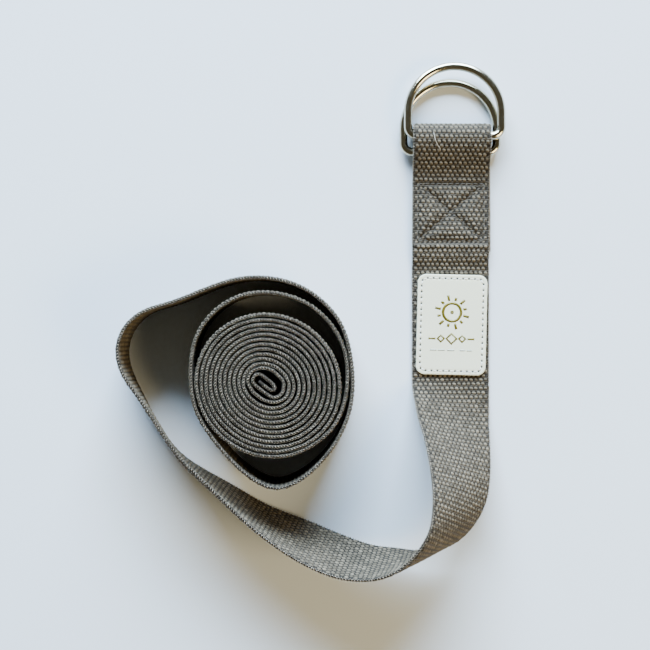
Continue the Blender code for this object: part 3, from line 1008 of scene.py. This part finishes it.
def build_ring(name, bar, tilt, mat):
    """A ring of round wire with its bar's middle at a place, its far end tilted up by some degrees."""
    line = ring_line()
    sides = 28
    travel = unit(np.roll(line, -1, axis=0) - np.roll(line, 1, axis=0))
    out = np.column_stack([travel[:, 1], -travel[:, 0]])
    angle = 2 * math.pi * np.arange(sides) / sides
    rows = []
    tip = math.radians(tilt)
    for i in range(len(line)):
        x = line[i, 0] + out[i, 0] * WIRE_R * np.cos(angle)
        y = line[i, 1] + out[i, 1] * WIRE_R * np.cos(angle)
        z = WIRE_R * np.sin(angle)
        py = y * math.cos(tip) - z * math.sin(tip)
        pz = y * math.sin(tip) + z * math.cos(tip)
        rows.append(np.column_stack([x + bar[0], py + bar[1], pz + bar[2]]) + SHIFT)
    faces = grid_faces(len(line) + 1, sides, True) % (len(line) * sides)
    return mesh_object(name, np.vstack(rows), faces, mat)


# ---------------------------------------------------------------- materials


class Nodes:
    """Short ways to add shader nodes to one material or world."""

    def __init__(self, owner):
        owner.use_nodes = True
        self.mat = owner
        self.tree = owner.node_tree
        self.shader = self.tree.nodes.get("Principled BSDF")

    def add(self, kind, **settings):
        node = self.tree.nodes.new(kind)
        for key, value in settings.items():
            setattr(node, key, value)
        return node

    def join(self, source, target):
        self.tree.links.new(source, target)

    def feed(self, socket, value):
        if hasattr(value, "links"):
            self.join(value, socket)
        else:
            socket.default_value = value

    def math(self, operation, *values):
        node = self.add("ShaderNodeMath", operation=operation)
        for socket, value in zip(node.inputs, values):
            self.feed(socket, value)
        return node.outputs[0]

    def ramp(self, value, low, high, to_low=0.0, to_high=1.0):
        node = self.add("ShaderNodeMapRange", interpolation_type="SMOOTHSTEP")
        for socket, given in zip(node.inputs, (value, low, high, to_low, to_high)):
            self.feed(socket, given)
        return node.outputs[0]

    def blend(self, factor, low, high):
        node = self.add("ShaderNodeMix", data_type="RGBA")
        for key, value in (("Factor", factor), ("A", low), ("B", high)):
            for socket in node.inputs:
                if socket.name == key and socket.enabled:
                    self.feed(socket, (*value, 1.0) if isinstance(value, tuple) else value)
        return [o for o in node.outputs if o.enabled][0]

    def place(self):
        return self.add("ShaderNodeTexCoord").outputs["Object"]

    def noise(self, vector, scale, detail):
        node = self.add("ShaderNodeTexNoise")
        self.join(vector, node.inputs["Vector"])
        node.inputs["Scale"].default_value = scale
        node.inputs["Detail"].default_value = detail
        return node.outputs["Fac"]

    def bump(self, height, distance, strength):
        node = self.add("ShaderNodeBump")
        node.inputs["Distance"].default_value = distance
        node.inputs["Strength"].default_value = strength
        self.join(height, node.inputs["Height"])
        self.join(node.outputs["Normal"], self.shader.inputs["Normal"])

    def set(self, **values):
        for key, value in values.items():
            socket = self.shader.inputs[key.replace("_", " ")]
            if isinstance(value, tuple):
                value = (*value, 1.0)
            self.feed(socket, value)


# Colours of the core's weave; the darkest is painted shade for the hollows between the yarns.
COTTON_LIGHT = (0.074, 0.063, 0.047)
COTTON_MID = (0.038, 0.032, 0.024)
COTTON_HOLLOW_SHADE = (0.016, 0.013, 0.0095)


def cotton_core():
    """Weft ridges and floats over the whole webbing, from its own length and width."""
    n = Nodes(bpy.data.materials.new("grey cotton webbing"))
    uv = n.add("ShaderNodeUVMap", uv_map="weave").outputs["UV"]
    split = n.add("ShaderNodeSeparateXYZ")
    n.join(uv, split.inputs[0])
    u = n.math("DIVIDE", split.outputs["X"], PICK)
    row = n.math("FLOOR", u)
    fu = n.math("SUBTRACT", n.math("FRACT", u), 0.5)
    odd = n.math("MODULO", row, 2.0)
    shift = n.math("MULTIPLY_ADD", odd, -0.5, 0.25)
    v = n.math("DIVIDE", split.outputs["Y"], END)
    v = n.math("ADD", n.math("ADD", v, shift), 0.5)
    fv = n.math("SUBTRACT", n.math("FRACT", v), 0.5)
    fv = n.math("MULTIPLY_ADD", fu, -0.4, fv)
    across = n.math("MULTIPLY", fv, 1.35)
    along = n.math("MULTIPLY", fu, 1.40)
    reach = n.math("SQRT", n.math("ADD", n.math("POWER", across, 2.0), n.math("POWER", along, 2.0)))
    bead = n.ramp(reach, 0.62, 0.20)
    weft = n.ramp(n.math("ABSOLUTE", fu), 0.36, 0.47)
    weft = n.math("MULTIPLY", weft, 0.55)
    height = n.math("MAXIMUM", bead, weft)
    place = n.place()
    fibre = n.noise(place, 2600.0, 3.0)
    drift = n.noise(place, 38.0, 2.0)
    # Painted shade: the colour darkens with the weave's height, down into the hollows between the yarns.
    colour = n.blend(height, COTTON_HOLLOW_SHADE, COTTON_MID)
    colour = n.blend(n.ramp(bead, 0.45, 1.0), colour, COTTON_LIGHT)
    tint = n.blend(n.ramp(drift, 0.35, 0.68), (0.93, 0.94, 0.98), (1.0, 0.96, 0.90))
    mixed = n.add("ShaderNodeMix", data_type="RGBA", blend_type="MULTIPLY")
    mixed.inputs[0].default_value = 1.0
    n.join(colour, mixed.inputs[6])
    n.join(tint, mixed.inputs[7])
    # Painted shade: the same dark at both edges, where the core shows between the selvedge yarns.
    edge = n.ramp(n.math("ABSOLUTE", split.outputs["Y"]), 0.0174, 0.0182)
    colour = n.blend(edge, mixed.outputs[2], COTTON_HOLLOW_SHADE)
    n.set(Base_Color=colour, Roughness=0.88, Specular_IOR_Level=0.2)
    relief = n.math("MULTIPLY_ADD", fibre, 0.18, height)
    n.bump(relief, 0.0004, 0.9)
    return n.mat


YARN_STREAK = 0.35


def yarn(name, dark, light):
    """Spun yarn: each float a little lighter or darker, with fine fibres, and with the painted highlight
    and shade that its tone carries.
    """
    n = Nodes(bpy.data.materials.new(name))
    tone = n.add("ShaderNodeAttribute", attribute_name="tone").outputs["Fac"]
    place = n.place()
    fibre = n.noise(place, 3400.0, 3.0)
    mixed = n.math("MULTIPLY_ADD", n.math("SUBTRACT", fibre, 0.5), YARN_STREAK * 2, tone)
    n.set(Base_Color=n.blend(mixed, dark, light), Roughness=0.85, Specular_IOR_Level=0.2)
    n.bump(fibre, 0.00012, 0.7)
    return n.mat


def thread(name, colour, roughness):
    """Twisted sewing thread."""
    n = Nodes(bpy.data.materials.new(name))
    place = n.place()
    wave = n.add("ShaderNodeTexWave", bands_direction="DIAGONAL")
    wave.inputs["Scale"].default_value = 900.0
    wave.inputs["Distortion"].default_value = 1.5
    n.join(place, wave.inputs["Vector"])
    shade = tuple(c * 0.72 for c in colour)
    n.set(Base_Color=n.blend(wave.outputs["Fac"], shade, colour), Roughness=roughness)
    n.bump(wave.outputs["Fac"], 0.00008, 0.6)
    return n.mat


def leatherette():
    """Faintly clouded white, with a fine grain."""
    n = Nodes(bpy.data.materials.new("white leatherette"))
    place = n.place()
    grain = n.noise(place, 1500.0, 3.0)
    cloud = n.noise(place, 60.0, 2.0)
    colour = n.blend(cloud, (0.67, 0.665, 0.49), (0.73, 0.72, 0.55))
    n.set(Base_Color=colour, Roughness=n.ramp(grain, 0.3, 0.7, 0.38, 0.52))
    n.bump(grain, 0.00004, 0.5)
    return n.mat


def nickel():
    """Warm polished plate with fine scuffs."""
    n = Nodes(bpy.data.materials.new("polished nickel"))
    place = n.place()
    scuff = n.noise(place, 900.0, 4.0)
    haze = n.noise(place, 120.0, 2.0)
    n.set(
        Base_Color=n.blend(haze, (0.46, 0.43, 0.325), (0.56, 0.525, 0.41)),
        Metallic=1.0,
        Roughness=n.ramp(scuff, 0.35, 0.75, 0.12, 0.22),
    )
    n.bump(scuff, 0.00001, 0.4)
    return n.mat


def foil():
    """Dull gold foil, worn in spots."""
    n = Nodes(bpy.data.materials.new("gold foil"))
    place = n.place()
    worn = n.noise(place, 1800.0, 3.0)
    n.set(
        Base_Color=n.blend(n.ramp(worn, 0.3, 0.7), (0.080, 0.062, 0.003), (0.15, 0.120, 0.008)),
        Metallic=0.2,
        Roughness=0.36,
    )
    return n.mat


def plain(name, colour, roughness):
    """One colour and one roughness."""
    n = Nodes(bpy.data.materials.new(name))
    n.set(Base_Color=colour, Roughness=roughness)
    return n.mat


# ---------------------------------------------------------------- assembly


def area_light(name, place, size, power, colour):
    """A rectangular light that looks at the middle of the table."""
    data = bpy.data.lights.new(name, "AREA")
    data.shape = "RECTANGLE"
    data.size, data.size_y = size
    data.energy = power
    data.color = colour
    obj = bpy.data.objects.new(name, data)
    bpy.context.scene.collection.objects.link(obj)
    obj.location = place
    obj.rotation_mode = "QUATERNION"
    obj.rotation_quaternion = (-Vector(place)).to_track_quat("-Z", "Y")


def build_world():
    """A dim room: cool towards the window, warm behind, with a dark olive ceiling."""
    world = bpy.data.worlds.new("studio")
    bpy.context.scene.world = world
    n = Nodes(world)
    split = n.add("ShaderNodeSeparateXYZ")
    n.join(n.add("ShaderNodeTexCoord").outputs["Generated"], split.inputs[0])
    walls = n.blend(n.ramp(split.outputs["Y"], -0.5, 0.9), WORLD_WARM, WORLD_COOL)
    colour = n.blend(n.ramp(split.outputs["Z"], 0.20, 0.62), walls, WORLD_CEILING)
    background = n.tree.nodes["Background"]
    n.join(colour, background.inputs["Color"])
    background.inputs["Strength"].default_value = 1.0


def build_stage():
    """The pale table top, the room and its two lights."""
    n = Nodes(bpy.data.materials.new("pale table"))
    place = n.place()
    cloud = n.noise(place, 3.0, 2.0)
    n.set(Base_Color=n.blend(cloud, (0.665, 0.73, 0.80), (0.685, 0.745, 0.81)), Roughness=0.6)
    half = TABLE_HALF
    corners = [(-half, -half, 0), (half, -half, 0), (half, half, 0), (-half, half, 0)]
    floor = mesh_object("table", corners, [(0, 1, 2, 3)], n.mat, smooth=False)
    build_world()
    area_light("window", *WINDOW)
    area_light("lamp", *LAMP)


def build_camera():
    """Straight down, as the photograph was taken."""
    data = bpy.data.cameras.new("camera")
    data.lens = CAMERA_LENS
    data.sensor_width = 36.0
    data.clip_start = 0.01
    camera = bpy.data.objects.new("camera", data)
    bpy.context.scene.collection.objects.link(camera)
    camera.location = (SHIFT[0], SHIFT[1], CAMERA_HEIGHT + SHIFT[2])
    bpy.context.scene.camera = camera


def build_webbing():
    """The woven strip with its yarns, for the six nodes that stand for it in CAD."""
    core = build_core(cotton_core())
    web_nodes = ["webbing_fold", "webbing_flat_run", "webbing_turn", "webbing_outer_loop"]
    web_nodes += ["webbing_inner_loop", "webbing_roll"]
    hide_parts(*web_nodes)
    float_mat = yarn("cotton floats", (0.063, 0.052, 0.036), (0.168, 0.140, 0.099))
    # The weft's own grey, darkened by painted shade for the grooves between the rows of floats.
    weft_shade_mat = yarn("cotton weft with painted groove shade", (0.040, 0.034, 0.026), (0.080, 0.068, 0.052))
    fine = build_floats(float_mat, weft_shade_mat)
    fine += build_selvedge(yarn("cotton selvedge", (0.10, 0.086, 0.067), (0.42, 0.365, 0.29)))
    fine.append(build_stray_fibre(yarn("loose fibre", (0.55, 0.50, 0.42), (0.70, 0.65, 0.56))))
    for piece in [core, *fine]:
        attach(piece, "webbing")


def build_sewn_parts():
    """The label, its thread, holes and print, and the thread of the box."""
    label = build_label(leatherette())
    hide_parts("label_patch")
    sewn = build_label_thread(thread("white thread", (0.90, 0.90, 0.87), 0.6))
    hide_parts("label_stitching")
    # The holes' dark is partly the webbing under them and partly painted shade inside them.
    holes = build_needle_holes(plain("needle holes", (0.03, 0.03, 0.026), 0.9))
    gold = build_foil(foil())
    box = box_stitches(thread("grey thread", (0.070, 0.060, 0.046), 0.7))
    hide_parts("box_stitching")
    worn = build_worn_print(plain("worn print", (0.42, 0.44, 0.37), 0.6))
    for piece in (label, sewn, holes, gold, box, worn):
        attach(piece, "webbing")


def build_rings():
    """The upper ring, nearly level in the fold, and the lower one, its far end on the table."""
    metal = nickel()
    lower_tilt = -math.degrees(math.asin((LOWER_BAR[2] - WIRE_R) / RING_REACH))
    rings = [
        ("upper_ring", "d_ring_upper", UPPER_BAR, UPPER_TILT),
        ("lower_ring", "d_ring_lower", LOWER_BAR, lower_tilt),
    ]
    for body, node, bar, tilt in rings:
        ring = build_ring(body + "_wire", bar, tilt, metal)
        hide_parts(node)
        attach(ring, body)


build_webbing()
build_sewn_parts()
build_rings()
build_stage()
build_camera()
